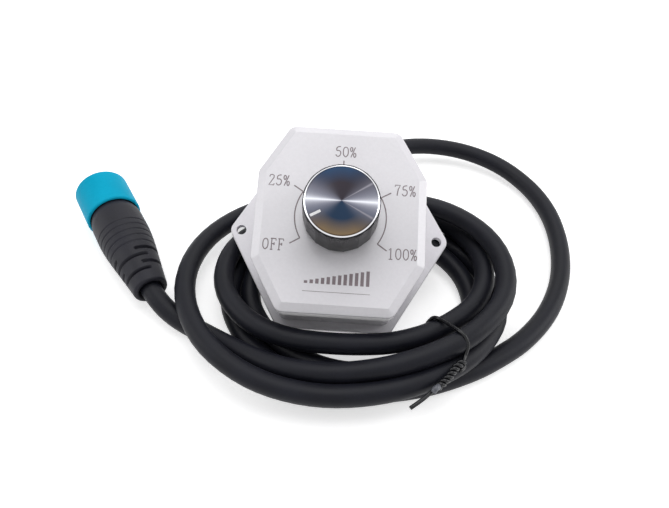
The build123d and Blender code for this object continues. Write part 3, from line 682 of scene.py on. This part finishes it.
def addPrint(name, bands, place, lift, material):
    # bands are flat pieces in mm on the place's XY plane, raised by lift
    flat, faces = joined(bands)
    flat = flat * mm
    local = np.column_stack([flat, np.full(len(flat), lift), np.ones(len(flat))])
    return addMesh(name, (local @ np.array(place).T)[:, :3], faces, material, "housing", smooth=False)


def dialBands(settings):
    bands = []
    for start, end in settings["arcs"]:
        angle = np.radians(np.linspace(start, end, settings["arcPoints"]))
        arc = settings["arcRadius"] * np.column_stack([np.cos(angle), np.sin(angle)])
        bands.append(ribbonAlong(arc, settings["line"]))
    for tick, outer in settings["ticks"]:
        way = np.array([cos(radians(tick)), sin(radians(tick))])
        bands.append(ribbonAlong([way * settings["arcRadius"], way * outer], settings["line"]))
    for word, x, y in settings["words"]:
        step = settings["pitch"]
        for place, letter in enumerate(word):
            left = x + (place - (len(word) - 1) / 2) * step - settings["glyphWidth"] / 2
            for stroke in glyphs[letter]:
                line = roundStroke(stroke) if letter in settings["rounded"] else np.array(stroke, float)
                line = line * (settings["glyphWidth"] / 2, settings["glyphHeight"] / 4)
                bands.append(ribbonAlong(line + (left, y - settings["glyphHeight"] / 2), settings["stroke"]))
    return bands


addPrint("dialPrint", dialBands(dial), dialPlace, dial["lift"], printInk)
print("dial print done")

wedge = dict(left=-11.3, right=11.5, foot=-24.0, count=12, low=0.9, high=5.3, share=0.6, rule=0.16,
             ruleDrop=2.7)


def wedgeBands(settings):
    # a row of bars that grows to the right, over a thin rule
    step = (settings["right"] - settings["left"]) / settings["count"]
    bands = []
    for bar in range(settings["count"]):
        middle = settings["left"] + (bar + 0.5) * step
        height = settings["low"] + (settings["high"] - settings["low"]) * bar / (settings["count"] - 1)
        bands.append(ribbonAlong([(middle, settings["foot"]), (middle, settings["foot"] + height)],
                                 step * settings["share"]))
    rule = settings["foot"] - settings["ruleDrop"]
    bands.append(ribbonAlong([(settings["left"], rule), (settings["right"], rule)], settings["rule"]))
    return bands


addPrint("brightnessWedge", wedgeBands(wedge), dialPlace, dial["lift"], printInk)
print("brightness wedge done")


# floor and light

room = dict(floor=6.0, drop=0.0002, paper=(0.9, 0.9, 0.905, 1), seenLift=0.56)
studio = dict(lights=0.3, seen=1.0)


def seenRay(tree):
    # 1 for what the camera sees, also in a gloss or through glass
    ray = addNode(tree, "LightPath").outputs
    return mathOf(tree, "MAXIMUM", ray["Is Camera Ray"],
                  mathOf(tree, "MAXIMUM", ray["Is Glossy Ray"], ray["Is Transmission Ray"]))


def addFloor(settings):
    half = settings["floor"] / 2
    mesh = bpy.data.meshes.new("floor")
    corners = [(-half, -half), (half, -half), (half, half), (-half, half)]
    mesh.from_pydata([(x, y, -settings["drop"]) for x, y in corners], [], [(0, 1, 2, 3)])
    floor = bpy.data.objects.new("floor", mesh)
    bpy.context.scene.collection.objects.link(floor)
    material, tree, shader = newMaterial("floorPaper", Roughness=0.9, Specular_IOR_Level=0.1,
                                         Base_Color=settings["paper"], Emission_Color=(1, 1, 1, 1))
    lift = mathOf(tree, "MULTIPLY", seenRay(tree), settings["seenLift"])
    setShader(tree, shader, Emission_Strength=lift)
    mesh.materials.append(material)


def addWorld(settings):
    # white where it is seen, dimmer as a light
    world = bpy.data.worlds.new("studio")
    world.use_nodes = True
    tree = world.node_tree
    strength = rangeOf(tree, seenRay(tree), 0.0, 1.0, settings["lights"], settings["seen"])
    background = tree.nodes["Background"]
    background.inputs["Color"].default_value = (1, 1, 1, 1)
    tree.links.new(strength, background.inputs["Strength"])
    bpy.context.scene.world = world


lamps = [
    dict(name="topSoftbox", place=(-0.03, 0.15, 0.9), aim=(0, 0, 0.02), size=0.8, power=4.25),
    dict(name="leftSoftbox", place=(-0.75, -0.1, 0.45), aim=(0, 0, 0.02), size=0.5, power=1.6),
    dict(name="backSoftbox", place=(0.1, 0.8, 0.55), aim=(0, 0, 0.02), size=0.6, power=1.0),
    dict(name="rightSoftbox", place=(0.75, 0.05, 0.4), aim=(0, 0, 0.02), size=0.5, power=2.6),
]


def addLamp(settings):
    light = bpy.data.lights.new(settings["name"], "AREA")
    light.size = settings["size"]
    light.energy = settings["power"]
    lamp = bpy.data.objects.new(settings["name"], light)
    bpy.context.scene.collection.objects.link(lamp)
    lamp.location = settings["place"]
    way = Vector(settings["aim"]) - Vector(settings["place"])
    lamp.rotation_euler = way.to_track_quat("-Z", "Y").to_euler()


addFloor(room)
addWorld(studio)
for lampSettings in lamps:
    addLamp(lampSettings)
bpy.context.scene.view_settings.view_transform = "Standard"
print("floor and light done")
